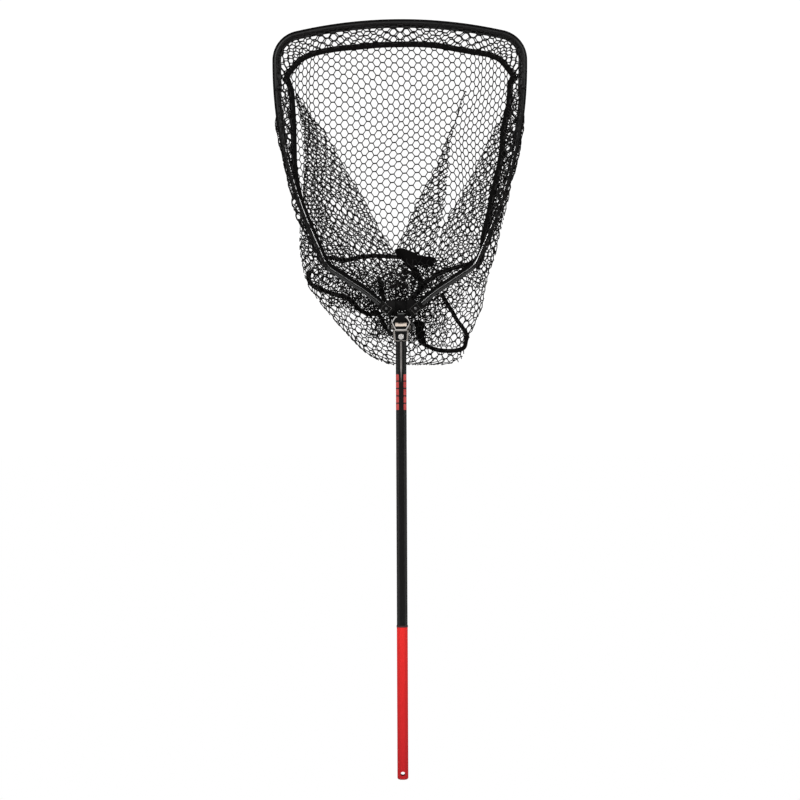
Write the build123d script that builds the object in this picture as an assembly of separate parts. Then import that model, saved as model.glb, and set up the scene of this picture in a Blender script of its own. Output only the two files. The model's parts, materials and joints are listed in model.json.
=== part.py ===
from build123d import *
import os
from math import atan2, cos, degrees, hypot, radians, sin, sqrt, tan

# A folding landing net. The frame's origin is the middle of the grip, +Z runs up the handle
# to the hoop, and -Y is the front. The hinge and the head are drawn about the fold pivot.

# fits and gaps
slip = 0.1               # per side, between glued or seated pieces
pin_fit = 0.05           # radial, pin in a turning hole
slide_fit = 0.25         # per side, around the lock bar and its stem
soft_gap = 0.3           # between the net, its tapes and what carries them
side_play = 0.05         # along the pivot, between washers and cheeks

# handle
tube_flats = 25.2
tube_wall = 1.8
tube_edge_radius = 4.0
pivot_height = 889.0     # from the middle of the grip to the fold pivot
grip_length = 359.0
grip_flats = 25.8
collar_height = 4.0
collar_flats = 26.8
core_wall = 1.6
core_overlap = 60.0      # how far the core reaches up into the tube
butt_cap_height = 6.0
butt_cap_chamfer = 3.0
butt_spigot_length = 34.0
lanyard_hole_radius = 5.5
lanyard_hole_height = 14.0   # above the butt's end

# hinge body, heights from the pivot
ferrule_bottom = -35.0
ferrule_shoulder = -9.4
ferrule_width_low = 33.0
ferrule_width_high = 40.0
ferrule_depth = 33.0
ferrule_corner = 5.0
tube_seat = -16.0
spigot_length = 79.0
spigot_bore_radius = 7.5
spigot_roof = 6.0
head_half_depth = 14.0
head_top = 23.0
head_top_half_width = 13.5
head_waist = 9.4
head_waist_half_width = 23.0
head_foot_half_width = 13.0
boss_radius = 8.0
boss_half_width = 22.4
washer_thickness = 1.0
washer_radius = 7.5

# bezel, inlay and face plate
bezel_rim = 2.4
bezel_thickness = 2.5
bezel_chamfer = 0.9
face_thickness = 1.4
inlay_width = 27.0
inlay_height = 8.2
inlay_centre = 4.1
inlay_thickness = 0.6
plate_top_half_width = 14.6
plate_foot_half_width = 12.6
plate_top = -11.4
plate_foot = -33.4
plate_thickness = 1.1
plate_recess = 0.5       # how deep the plate sits in the ferrule
rivet_height = -24.8
rivet_radius = 3.0
rivet_head_radius = 6.6
rivet_head_rise = 2.4
rivet_tail_radius = 5.0
rivet_tail_rise = 1.6

# pivot
pivot_radius = 4.0
bolt_head_radius = 6.5
bolt_head_height = 3.4
nut_flats = 12.0
nut_height = 3.8
bolt_tip = 0.8

# lock slide, bar and detent
lock_travel = 5.0
bar_radius = 2.0
bar_orbit = 12.0         # bar's distance from the pivot when released
stem_half_width = 3.0
stem_half_height = 3.4
stem_wall = 2.0          # behind the bar
thumb_half_width = 9.5
thumb_bottom = 8.6
thumb_height = 23.4
thumb_thickness = 6.2
thumb_corner = 1.6
ridge_count = 3
ridge_pitch = 3.2
ridge_half_width = 8.0
ridge_rise = 0.7
ridge_width = 1.3
ball_radius = 1.5
ball_across = 6.2
ball_height = 18.0
ball_proud = 0.5         # of the ball's centre in front of the face plate
detent_depth = 8.0
detent_coil_radius = 1.2
detent_wire_radius = 0.16
detent_coils = 6
channel_depth = 1.2

# yoke
fold_limit = 165.0       # degrees
cheek_radius = 23.0
cheek_thickness = 4.5
neck_front = -10.0
neck_back = 18.0
yoke_top = 62.0
lobe_bottom = 38.0
lobe_inner = 14.4
lobe_outer = 35.0
lobe_corner = 3.0
bridge_bottom = 26.0
bridge_thickness = 6.0
bridge_notch_half_width = 11.0
bridge_notch_top = 38.0
bridge_corner = 3.0
bridge_screw_radius = 2.0
bridge_screw_depth = 12.0
bridge_screw_head_radius = 3.6
bridge_screw_head_rise = 2.2
bridge_screw_across = (19.5, 29.5)
bridge_screw_height = (45.0, 55.0)

# hoop, heights from the pivot
hoop_tube_radius = 7.0
hoop_tube_wall = 1.2
arm_start = (26.0, 35.0)
arm_bend = (84.0, 83.2)
arm_bend_radius = 200.0
lower_corner = (176.7, 143.0)
lower_corner_radius = 60.0
knee = (293.0, 417.0)
knee_radius = 1000.0
side_straight = 8.8      # between the knee's bend and the upper corner's
upper_corner_radius = 63.0
top_radius = 1100.0

# arm sockets
socket_half_size = 10.0
socket_inner_end = 6.0
socket_outer_end = 30.0
socket_edge = 2.5
socket_fit = 0.08
plug_length = 32.0
clamp_width = 18.0
clamp_length = 20.0
clamp_corner = 1.5
clamp_thickness = 1.6
clamp_station = 11.0     # along the arm from the tube's end
clamp_screw_radius = 1.6
clamp_screw_length = 16.0
clamp_screw_head_radius = 3.0
clamp_screw_head_rise = 1.6

# net: half outlines from the top round the right side to the bottom, at depths behind the hoop
hem_thickness = 2.4
hem_bottom = 66.0
mouth = [(0, 669), (120, 664), (205, 640), (258, 578), (257, 470), (238, 345),
         (196, 232), (163, 174), (110, 126), (60, 94), (0, 86)]
behind_hoop = [(0, 676), (125, 670), (215, 648), (272, 588), (290, 470), (281, 345),
               (258, 240), (224, 160), (150, 105), (70, 82), (0, 78)]
belly = [(0, 590), (125, 584), (215, 560), (266, 500), (286, 420), (280, 330),
         (260, 230), (228, 110), (170, 10), (98, -82), (0, -88)]
low_back = [(0, 390), (105, 384), (180, 360), (222, 310), (240, 260), (242, 205),
            (228, 140), (196, 60), (146, -25), (84, -84), (0, -90)]
base_panel = [(0, 190), (70, 186), (118, 168), (148, 130), (160, 100), (162, 70),
              (152, 35), (130, 0), (100, -35), (60, -66), (0, -74)]
net_depths = (0.0, 30.0, 56.0, 110.0, 150.0)
net_side_wall = 2.0
net_end_wall = 10.0       # in the section's plane, where the wall runs nearly along it
net_base_wall = 2.0
net_seam = 96.0           # the level where the foot panel joins the walls
tape_width = 10.0
tape_thickness = 1.2
tab_width = 90.0
tab_height = 28.0
tab_thickness = 3.0
tab_across = 35.0
tab_centre_height = 158.0


def octagon(flats, edge_radius):
    outline = RegularPolygon(flats / 2, 8, major_radius=False, rotation=22.5)
    return fillet(outline.vertices(), edge_radius)


def octagon_bar(flats, edge_radius, bottom, top):
    return Pos(0, 0, bottom) * extrude(octagon(flats, edge_radius), top - bottom)


def slab(outline, front, back):
    """A prism across the depth, from a flat outline of x and z."""
    return extrude(Plane.XZ.offset(-back) * outline, back - front)


def side_slab(outline, inner, outer):
    """A prism along X, from a flat outline of y and z."""
    return extrude(Plane.YZ.offset(inner) * outline, outer - inner)


def rod_y(radius, x, z, front, back):
    return Pos(x, (front + back) / 2, z) * Rot(90, 0, 0) * Cylinder(radius, back - front)


def rod_x(radius, start, end, y=0.0, z=0.0):
    return Pos((start + end) / 2, y, z) * Rot(0, 90, 0) * Cylinder(radius, end - start)


def mirrored(points):
    left = [(-x, z) for x, z in points[-2:0:-1]]
    return list(points) + left


def polygon(points):
    return make_face(Polyline(*points, close=True))


# handle -------------------------------------------------------------------------------------

butt_end = -grip_length / 2
grip_top = grip_length / 2
tube_bore = tube_flats - 2 * tube_wall
core_flats = tube_bore - 2 * slip
core_bore = core_flats - 2 * core_wall
lanyard_height = butt_end + lanyard_hole_height
bore_edge_radius = tube_edge_radius - tube_wall
core_bore_edge_radius = bore_edge_radius - core_wall / 2


def lanyard_cut():
    return rod_y(lanyard_hole_radius, 0, lanyard_height, -grip_flats, grip_flats)


def handle_tube():
    bottom = grip_top + collar_height
    top = pivot_height + tube_seat
    tube = octagon_bar(tube_flats, tube_edge_radius, bottom, top)
    tube -= octagon_bar(tube_bore, bore_edge_radius, bottom - 1, top + 1)
    return tube - rod_y(rivet_radius + pin_fit, 0, pivot_height + rivet_height, -tube_flats, tube_flats)


def grip_core():
    bottom = butt_end + butt_cap_height
    top = grip_top + collar_height + core_overlap
    core = octagon_bar(core_flats, bore_edge_radius, bottom, top)
    core -= octagon_bar(core_bore, core_bore_edge_radius, bottom - 1, top + 1)
    return core - lanyard_cut()


def grip_sleeve():
    bottom = butt_end + butt_cap_height
    sleeve = octagon_bar(grip_flats, tube_edge_radius, bottom, grip_top)
    sleeve -= octagon_bar(core_flats + 2 * slip, bore_edge_radius, bottom - 1, grip_top + 1)
    return sleeve - lanyard_cut()


def grip_collar():
    top = grip_top + collar_height
    collar = octagon_bar(collar_flats, tube_edge_radius, grip_top, top)
    return collar - octagon_bar(core_flats + 2 * slip, bore_edge_radius, grip_top - 1, top + 1)


def butt_cap():
    top = butt_end + butt_cap_height
    cap = octagon_bar(grip_flats, tube_edge_radius, butt_end, top)
    cap = chamfer(cap.edges().group_by(Axis.Z)[0], butt_cap_chamfer)
    spigot_top = butt_end + butt_spigot_length
    cap += octagon_bar(core_bore - 2 * slip, core_bore_edge_radius, top, spigot_top)
    return cap - lanyard_cut()


# hinge body and what is fixed to it ---------------------------------------------------------

head_outline = [(-head_foot_half_width, ferrule_shoulder), (head_foot_half_width, ferrule_shoulder),
                (head_waist_half_width, head_waist), (head_top_half_width, head_top),
                (-head_top_half_width, head_top), (-head_waist_half_width, head_waist)]
ferrule_front = -ferrule_depth / 2
bezel_front = -head_half_depth - bezel_thickness
face_front = -head_half_depth - face_thickness
bar_window_half = bar_radius + slide_fit
locked_orbit = bar_orbit + lock_travel
stem_back = bar_radius + stem_wall
stem_slot_low = bar_orbit - stem_half_height - slide_fit
stem_slot_high = locked_orbit + stem_half_height + slide_fit
washer_outer = boss_half_width + side_play + washer_thickness
cheek_inner = washer_outer + side_play
cheek_outer = cheek_inner + cheek_thickness


def stem_slot():
    width = 2 * (stem_half_width + slide_fit)
    height = stem_slot_high - stem_slot_low
    back = stem_back + slide_fit
    depth = head_half_depth + bezel_thickness + 1 + back
    middle = (stem_slot_high + stem_slot_low) / 2
    return Pos(0, back - depth / 2, middle) * Box(width, depth, height)


def detent_hole(radius):
    back = -head_half_depth + detent_depth
    return rod_y(radius, ball_across, ball_height, -head_half_depth - bezel_thickness - 1, back)


def face_plate_outline(grow):
    return polygon([(-plate_foot_half_width - grow, plate_foot - grow),
                    (plate_foot_half_width + grow, plate_foot - grow),
                    (plate_top_half_width + grow, plate_top + grow),
                    (-plate_top_half_width - grow, plate_top + grow)])


def hinge_body():
    low = RectangleRounded(ferrule_width_low, ferrule_depth, ferrule_corner)
    high = RectangleRounded(ferrule_width_high, ferrule_depth, ferrule_corner)
    body = loft([Pos(0, 0, ferrule_bottom) * low, Pos(0, 0, ferrule_shoulder) * high])
    body += slab(polygon(head_outline), -head_half_depth, head_half_depth)
    body += rod_x(boss_radius, -boss_half_width, boss_half_width)
    pocket = octagon_bar(tube_flats + 2 * slip, tube_edge_radius, ferrule_bottom - 1, tube_seat)
    body -= pocket
    spigot_end = tube_seat - spigot_length
    spigot = octagon_bar(core_flats, bore_edge_radius, spigot_end, tube_seat)
    spigot -= Pos(0, 0, (spigot_end + tube_seat - spigot_roof) / 2) * Cylinder(
        spigot_bore_radius, spigot_length - spigot_roof)
    body += spigot
    body -= rod_x(pivot_radius + pin_fit, -boss_half_width - 1, boss_half_width + 1)
    window_low = bar_orbit - bar_window_half
    window_high = locked_orbit + bar_window_half
    window = Box(4 * boss_half_width, 2 * bar_window_half, window_high - window_low)
    body -= Pos(0, 0, (window_low + window_high) / 2) * window
    body -= stem_slot()
    body -= detent_hole(ball_radius + pin_fit)
    body -= rod_y(rivet_radius + pin_fit, 0, rivet_height, -ferrule_depth, ferrule_depth)
    body -= slab(face_plate_outline(slip), ferrule_front - 1, ferrule_front + plate_recess)
    return body


def bezel_frame():
    outer = slab(polygon(head_outline), bezel_front, -head_half_depth)
    outer = chamfer(outer.edges().group_by(Axis.Y)[0], bezel_chamfer)
    inner = offset(polygon(head_outline), -bezel_rim, kind=Kind.INTERSECTION)
    frame = outer - slab(inner, bezel_front - 1, -head_half_depth + 1)
    return frame - stem_slot()


def bezel_face():
    plate = slab(offset(polygon(head_outline), -bezel_rim - slip, kind=Kind.INTERSECTION),
                 face_front, -head_half_depth)
    return plate - stem_slot() - detent_hole(ball_radius + pin_fit)


def bezel_inlay():
    outline = Pos(0, inlay_centre) * RectangleRounded(inlay_width, inlay_height, 1.2)
    return slab(outline, face_front - inlay_thickness, face_front)


def ferrule_plate():
    seat = ferrule_front + plate_recess
    plate = slab(face_plate_outline(0), seat - plate_thickness, seat)
    return plate - rod_y(rivet_radius + pin_fit, 0, rivet_height, -ferrule_depth, ferrule_depth)


def ferrule_rivet():
    front = ferrule_front + plate_recess - plate_thickness
    back = ferrule_depth / 2
    rivet = rod_y(rivet_radius, 0, rivet_height, front, back)
    head = rod_y(rivet_head_radius, 0, rivet_height, front - rivet_head_rise, front)
    rivet += fillet(head.edges().group_by(Axis.Y)[0], rivet_head_rise * 0.8)
    tail = rod_y(rivet_tail_radius, 0, rivet_height, back, back + rivet_tail_rise)
    return rivet + fillet(tail.edges().group_by(Axis.Y)[-1], rivet_tail_rise * 0.7)


def detent_ball():
    return Pos(ball_across, face_front - ball_proud, ball_height) * Sphere(ball_radius)


def detent_spring():
    front = face_front - ball_proud + ball_radius + detent_wire_radius
    back = -head_half_depth + detent_depth - detent_wire_radius
    height = back - front
    path = Helix(height / detent_coils, height, detent_coil_radius)
    wire = Plane(origin=path @ 0, z_dir=path % 0) * Circle(detent_wire_radius)
    coil = sweep(wire, path=path)
    return Pos(ball_across, front, ball_height) * Rot(-90, 0, 0) * coil


def pivot_bolt():
    seat = -cheek_outer - side_play
    tip = cheek_outer + side_play + nut_height + bolt_tip
    bolt = rod_x(pivot_radius, seat, tip)
    head = rod_x(bolt_head_radius, seat - bolt_head_height, seat)
    return bolt + fillet(head.edges().group_by(Axis.X)[0], bolt_head_height * 0.4)


def pivot_nut():
    seat = cheek_outer + side_play
    outline = RegularPolygon(nut_flats / 2, 6, major_radius=False) - Circle(pivot_radius + pin_fit)
    return side_slab(outline, seat, seat + nut_height)


def pivot_washers():
    ring = rod_x(washer_radius, washer_outer - washer_thickness, washer_outer)
    ring -= rod_x(pivot_radius + pin_fit, 0, cheek_outer)
    return Compound(children=[ring, mirror(ring, about=Plane.YZ)])


# lock slide ---------------------------------------------------------------------------------

thumb_back = bezel_front - soft_gap
thumb_front = thumb_back - thumb_thickness


def thumb_slide():
    top = thumb_bottom + thumb_height
    middle = (thumb_bottom + top) / 2
    outline = Pos(0, middle) * RectangleRounded(2 * thumb_half_width, thumb_height, thumb_corner)
    block = slab(outline, thumb_front, thumb_back)
    block = chamfer(block.edges().group_by(Axis.Y)[0], 0.8)
    for step in range(ridge_count):
        height = top - 2.2 - step * ridge_pitch
        ridge = Box(2 * ridge_half_width, 2 * ridge_rise, ridge_width)
        block += Pos(0, thumb_front, height) * ridge
    stem_depth = stem_back - thumb_back
    stem = Box(2 * stem_half_width, stem_depth, 2 * stem_half_height)
    block += Pos(0, stem_back - stem_depth / 2, bar_orbit) * stem
    block -= rod_x(bar_radius + 0.02, -thumb_half_width, thumb_half_width, 0, bar_orbit)
    channel_half = ball_radius + slide_fit
    channel_low = ball_height - lock_travel - channel_half
    channel_high = ball_height + channel_half
    channel = Box(2 * channel_half, 2 * channel_depth, channel_high - channel_low)
    return block - Pos(ball_across, thumb_back, (channel_low + channel_high) / 2) * channel


def lock_bar():
    half = cheek_outer - side_play
    bar = rod_x(bar_radius, -half, half, 0, bar_orbit)
    return chamfer(bar.edges().filter_by(GeomType.CIRCLE), 0.4)


# yoke ---------------------------------------------------------------------------------------

def cheek_slot():
    """The bar's track: an arc about the pivot with a notch out from it at each end."""
    width = 2 * bar_window_half
    ring = Circle(bar_orbit + bar_window_half) - Circle(bar_orbit - bar_window_half)
    reach = 4 * bar_orbit
    sector = [(0, 0), (0, reach)]
    for part in range(1, 5):
        angle = radians(fold_limit * part / 4)
        sector.append((reach * sin(angle), reach * cos(angle)))
    track = ring & polygon(sector)
    for angle in (0, fold_limit):
        notch = Pos(0, (bar_orbit + locked_orbit) / 2) * Rectangle(width, lock_travel)
        notch += Pos(0, bar_orbit) * Circle(bar_window_half)
        notch += Pos(0, locked_orbit) * Circle(bar_window_half)
        track += Rot(0, 0, -angle) * notch
    return track


arm_angle = degrees(atan2(arm_bend[1] - arm_start[1], arm_bend[0] - arm_start[0]))
arm_cos = cos(radians(arm_angle))
arm_sin = sin(radians(arm_angle))
arm_plane = Plane(origin=(arm_start[0], 0, arm_start[1]), x_dir=(0, 1, 0), z_dir=(arm_cos, 0, arm_sin))


def along_arm(shape, start, end):
    """A flat outline extruded along the arm, between two stations from the tube's end."""
    return extrude(arm_plane.offset(start) * shape, end - start)


def clamp_screw_cut(radius):
    x = arm_start[0] + clamp_station * arm_cos
    z = arm_start[1] + clamp_station * arm_sin
    front = -socket_half_size - clamp_thickness - 1
    return rod_y(radius, x, z, front, front + 1 + clamp_thickness + clamp_screw_length)


def yoke_side():
    neck = Pos((neck_front + neck_back) / 2, yoke_top / 2) * Rectangle(
        neck_back - neck_front, yoke_top)
    cheek = Circle(cheek_radius) + neck
    side = side_slab(cheek - cheek_slot() - Circle(pivot_radius + pin_fit), cheek_inner, cheek_outer)
    middle = ((lobe_inner + lobe_outer) / 2, (lobe_bottom + yoke_top) / 2)
    lobe = Pos(*middle) * RectangleRounded(
        lobe_outer - lobe_inner, yoke_top - lobe_bottom, lobe_corner)
    side += slab(lobe, neck_front, neck_back)
    socket = RectangleRounded(2 * socket_half_size, 2 * socket_half_size, socket_edge)
    side += along_arm(socket, -socket_inner_end, socket_outer_end)
    side -= along_arm(Circle(hoop_tube_radius + socket_fit), 0, socket_outer_end + 1)
    side -= clamp_screw_cut(clamp_screw_radius + pin_fit)
    for x, z in zip(bridge_screw_across, bridge_screw_height):
        side -= rod_y(bridge_screw_radius + pin_fit, x, z, neck_back - bridge_screw_depth, neck_back + 1)
    return side


def yoke_bridge():
    middle = (0, (bridge_bottom + yoke_top) / 2)
    outline = Pos(*middle) * RectangleRounded(2 * lobe_outer, yoke_top - bridge_bottom, bridge_corner)
    notch_height = bridge_notch_top - bridge_bottom + 10
    notch = Pos(0, bridge_notch_top - notch_height / 2) * Rectangle(
        2 * bridge_notch_half_width, notch_height)
    bridge = slab(outline - notch, neck_back, neck_back + bridge_thickness)
    bridge = chamfer(bridge.edges().group_by(Axis.Y)[-1], 1.0)
    for x, z in zip(bridge_screw_across, bridge_screw_height):
        for side in (-1, 1):
            bridge -= rod_y(bridge_screw_radius + pin_fit, side * x, z,
                            neck_back - 1, neck_back + bridge_thickness + 1)
    return bridge


def bridge_screws():
    screws = []
    back = neck_back + bridge_thickness
    for x, z in zip(bridge_screw_across, bridge_screw_height):
        for side in (-1, 1):
            shank = rod_y(bridge_screw_radius, side * x, z, neck_back - bridge_screw_depth + 0.5, back)
            head = rod_y(bridge_screw_head_radius, side * x, z, back, back + bridge_screw_head_rise)
            head = fillet(head.edges().group_by(Axis.Y)[-1], bridge_screw_head_rise * 0.6)
            socket_cut = Pos(side * x, back + bridge_screw_head_rise, z) * Rot(90, 0, 0) * extrude(
                RegularPolygon(1.5, 6), 1.2, both=True)
            screws.append(shank + head - socket_cut)
    return Compound(children=screws)


def arm_clamp():
    x = arm_start[0] + clamp_station * arm_cos
    z = arm_start[1] + clamp_station * arm_sin
    outer = Pos(x, z) * Rot(0, 0, arm_angle) * RectangleRounded(clamp_length, clamp_width, clamp_corner)
    plate = slab(outer, -socket_half_size - clamp_thickness, -socket_half_size)
    plate = chamfer(plate.edges().group_by(Axis.Y)[0], 0.5)
    return plate - clamp_screw_cut(clamp_screw_radius + pin_fit)


def clamp_screw():
    x = arm_start[0] + clamp_station * arm_cos
    z = arm_start[1] + clamp_station * arm_sin
    seat = -socket_half_size - clamp_thickness
    shank = rod_y(clamp_screw_radius, x, z, seat, seat + clamp_screw_length)
    head = rod_y(clamp_screw_head_radius, x, z, seat - clamp_screw_head_rise, seat)
    return shank + fillet(head.edges().group_by(Axis.Y)[0], clamp_screw_head_rise * 0.6)


# hoop ---------------------------------------------------------------------------------------

side_lean = atan2(knee[0] - lower_corner[0], knee[1] - lower_corner[1])
corner_start = knee[1] + knee_radius * tan(side_lean / 2) + side_straight
corner_across = knee[0] - upper_corner_radius
corner_to_top = sqrt((top_radius - upper_corner_radius) ** 2 - corner_across ** 2)
top_turn = degrees(atan2(corner_across, corner_to_top))


def hoop_path():
    """Both sides as bent lines, joined over the top by two corner arcs and one wide arc."""
    right = [arm_start, arm_bend, lower_corner, knee, (knee[0], corner_start)]
    radii = [arm_bend_radius, lower_corner_radius, knee_radius]
    left = [(-x, z) for x, z in reversed(right)]
    rise = 90 - top_turn
    return Wire([
        *FilletPolyline(*right, radius=radii).edges(),
        *CenterArc((corner_across, corner_start), upper_corner_radius, 0, rise).edges(),
        *CenterArc((0, corner_start - corner_to_top), top_radius, rise, 2 * top_turn).edges(),
        *CenterArc((-corner_across, corner_start), upper_corner_radius, 90 + top_turn, rise).edges(),
        *FilletPolyline(*left, radius=radii[::-1]).edges(),
    ])


def hoop_tube():
    path = Plane.XZ * hoop_path()
    section = Circle(hoop_tube_radius) - Circle(hoop_tube_radius - hoop_tube_wall)
    tube = sweep(arm_plane * section, path=path)
    cut = clamp_screw_cut(clamp_screw_radius + pin_fit)
    return tube - cut - mirror(cut, about=Plane.YZ)


def hoop_plug():
    plug = along_arm(Circle(hoop_tube_radius - hoop_tube_wall - slip), 0.5, plug_length)
    return plug - clamp_screw_cut(clamp_screw_radius + pin_fit)


# net ----------------------------------------------------------------------------------------

def inset(points, side, end):
    """Moves a closed outline inwards, by one amount sideways and another up and down."""
    moved = []
    for i, (x, z) in enumerate(points):
        before = points[i - 1]
        after = points[(i + 1) % len(points)]
        dx, dz = after[0] - before[0], after[1] - before[1]
        length = hypot(dx, dz)
        moved.append((x + side * dz / length, z - end * dx / length))
    return moved


def net_section(half, depth, side, end):
    return Plane.XZ.offset(-depth) * polygon(inset(mirrored(half), side, end))


def hoop_inside():
    outline = hoop_path()
    closed = make_face(outline + Line(outline @ 1, outline @ 0))
    inside = offset(closed, -hoop_tube_radius - soft_gap)
    height = corner_start + upper_corner_radius
    above = Pos(0, hem_bottom + height / 2) * Rectangle(4 * knee[0], height)
    return inside & above


def net_bag():
    halves = [mouth, behind_hoop, belly, low_back, base_panel]
    outer = loft([net_section(half, depth, 0, 0) for half, depth in zip(halves, net_depths)], ruled=True)
    inner_depths = list(net_depths)
    inner_depths[-1] -= net_base_wall
    sections = []
    for half, depth in zip(halves, inner_depths):
        end = net_side_wall if half is mouth else net_end_wall
        sections.append(net_section(half, depth, net_side_wall, end))
    inner = loft(sections, ruled=True)
    lip = inset(mirrored(mouth), net_side_wall, net_side_wall)
    hem = slab(hoop_inside() - polygon(lip), -hem_thickness / 2, hem_thickness / 2)
    return outer - inner + hem


def net_panels():
    """The bag in two panels that meet at a level seam: the walls above it and the foot below it."""
    bag = net_bag()
    below = Pos(0, 0, net_seam - corner_start) * Box(4 * knee[0], 4 * knee[0], 2 * corner_start)
    return bag - below, bag & below


def tape_ring(half, grow, back):
    outline = mirrored(half)
    outer = polygon(inset(outline, -grow, -grow))
    inner = polygon(inset(outline, tape_width - grow, tape_width - grow))
    return slab(outer - inner, back - tape_thickness, back)


def hem_tape():
    return tape_ring(mouth, tape_width * 0.8, -hem_thickness / 2 - soft_gap)


def base_tape():
    return tape_ring(base_panel, -1.0, net_depths[-1] + soft_gap + tape_thickness)


def net_tab():
    outline = Pos(tab_across, tab_centre_height) * RectangleRounded(tab_width, tab_height, 4)
    front = net_depths[-1] + 2 * soft_gap + tape_thickness
    return slab(outline, front, front + tab_thickness)


def both_sides(shape):
    return Compound(children=[shape, mirror(shape, about=Plane.YZ)])


def at_pivot(shape):
    return Pos(0, 0, pivot_height) * shape


walls, foot = net_panels()
nodes = {
    "handle_tube": handle_tube(),
    "grip_core": grip_core(),
    "grip_sleeve": grip_sleeve(),
    "grip_collar": grip_collar(),
    "butt_cap": butt_cap(),
    "hinge_body": at_pivot(hinge_body()),
    "bezel_frame": at_pivot(bezel_frame()),
    "bezel_face": at_pivot(bezel_face()),
    "bezel_inlay": at_pivot(bezel_inlay()),
    "ferrule_plate": at_pivot(ferrule_plate()),
    "ferrule_rivet": at_pivot(ferrule_rivet()),
    "detent_ball": at_pivot(detent_ball()),
    "detent_spring": at_pivot(detent_spring()),
    "pivot_bolt": at_pivot(pivot_bolt()),
    "pivot_nut": at_pivot(pivot_nut()),
    "pivot_washers": at_pivot(pivot_washers()),
    "thumb_slide": at_pivot(thumb_slide()),
    "lock_bar": at_pivot(lock_bar()),
    "yoke_side_right": at_pivot(yoke_side()),
    "yoke_side_left": at_pivot(mirror(yoke_side(), about=Plane.YZ)),
    "yoke_bridge": at_pivot(yoke_bridge()),
    "bridge_screws": at_pivot(bridge_screws()),
    "arm_clamps": at_pivot(both_sides(arm_clamp())),
    "clamp_screws": at_pivot(both_sides(clamp_screw())),
    "hoop_tube": at_pivot(hoop_tube()),
    "hoop_plugs": at_pivot(both_sides(hoop_plug())),
    "net_bag": at_pivot(walls),
    "net_foot": at_pivot(foot),
    "hem_tape": at_pivot(hem_tape()),
    "base_tape": at_pivot(base_tape()),
    "net_tab": at_pivot(net_tab()),
}

os.makedirs("parts", exist_ok=True)
for name, shape in nodes.items():
    export_step(shape, f"parts/{name}.step")
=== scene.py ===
import json
from math import acos, cos, pi, radians, sin, tan

import bmesh
import bpy
import numpy as np
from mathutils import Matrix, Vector


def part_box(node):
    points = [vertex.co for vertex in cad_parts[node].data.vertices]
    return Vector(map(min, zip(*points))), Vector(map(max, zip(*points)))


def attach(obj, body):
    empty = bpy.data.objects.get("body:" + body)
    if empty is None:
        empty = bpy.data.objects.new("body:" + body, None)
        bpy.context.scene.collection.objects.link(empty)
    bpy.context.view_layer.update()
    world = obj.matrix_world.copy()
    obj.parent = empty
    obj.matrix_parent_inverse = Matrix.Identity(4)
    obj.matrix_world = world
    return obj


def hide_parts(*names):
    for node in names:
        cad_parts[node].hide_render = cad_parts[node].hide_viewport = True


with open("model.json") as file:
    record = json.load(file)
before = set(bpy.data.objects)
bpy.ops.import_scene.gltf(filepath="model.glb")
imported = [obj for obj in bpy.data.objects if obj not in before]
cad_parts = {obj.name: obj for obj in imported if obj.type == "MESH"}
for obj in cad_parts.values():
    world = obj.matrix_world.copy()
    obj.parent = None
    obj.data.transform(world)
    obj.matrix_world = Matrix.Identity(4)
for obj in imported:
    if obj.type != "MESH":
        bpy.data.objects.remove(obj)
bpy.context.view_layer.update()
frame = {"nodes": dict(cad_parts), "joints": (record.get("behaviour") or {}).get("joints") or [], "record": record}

mm = 0.001
subparts = frame["record"]["subparts"]
pivot = next(joint for joint in frame["joints"] if joint["name"] == "head_fold")["pos_m"][2]


# lines and meshes: millimetres from the fold pivot, x across, y back, z up

def runLengths(points):
    return np.concatenate([[0], np.cumsum(np.linalg.norm(np.diff(points, axis=0), axis=1))])


def resampled(points, step=None, count=None):
    points = np.array(points, float)
    along = runLengths(points)
    count = count or max(2, int(round(along[-1] / step)) + 1)
    places = np.linspace(0, along[-1], count)
    return np.stack([np.interp(places, along, column) for column in points.T], 1)


def roundedLine(corners, radii, step=4.0):
    line = [np.array(corners[0], float)]
    for before, corner, after, radius in zip(corners, corners[1:], corners[2:], radii):
        corner = np.array(corner, float)
        inward, outward = ((end - corner) / np.linalg.norm(end - corner) for end in (before, after))
        half = acos(inward @ outward) / 2
        middle = (inward + outward) / np.linalg.norm(inward + outward)
        centre = corner + middle * radius / sin(half)
        start = corner + inward * radius / tan(half) - centre
        end = corner + outward * radius / tan(half) - centre
        sweep = pi - 2 * half
        for share in np.linspace(0, 1, max(3, int(radius * sweep / step))):
            turn = (sin((1 - share) * sweep) * start + sin(share * sweep) * end) / sin(sweep)
            line.append(centre + turn)
    line.append(np.array(corners[-1], float))
    return resampled(line, step)


def curveThrough(points, step=3.0):
    points = np.array(points, float)
    padded = np.vstack([2 * points[0] - points[1], points, 2 * points[-1] - points[-2]])
    line = []
    for a, b, c, d in zip(padded, padded[1:], padded[2:], padded[3:]):
        for t in np.linspace(0, 1, 12, endpoint=False):
            line.append(0.5 * (2 * b + (c - a) * t + (2 * a - 5 * b + 4 * c - d) * t ** 2
                               + (3 * b - a - 3 * c + d) * t ** 3))
    line.append(points[-1])
    return resampled(line, step)


eye = {"away": 5000.0, "height": -173.5}


def placed(points):
    # the lines are drawn as they look from the front, so deeper points spread a little from the eye's axis
    points = np.array(points, float)
    spread = 1 + points[:, 1:2] / eye["away"]
    middle = np.array([0, 0, eye["height"]])
    points = np.where([True, False, True], (points - middle) * spread + middle, points)
    return points * mm + np.array([0, 0, pivot])


def addObject(name, data):
    made = bpy.data.objects.new(name, data)
    bpy.context.collection.objects.link(made)
    return made


def addMesh(name, points, faces, material, edges=(), smooth=True):
    mesh = bpy.data.meshes.new(name)
    mesh.from_pydata(np.asarray(points).tolist(), list(edges), list(faces))
    if smooth:
        mesh.polygons.foreach_set("use_smooth", [True] * len(mesh.polygons))
    mesh.materials.append(material)
    return addObject(name, mesh)


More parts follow.
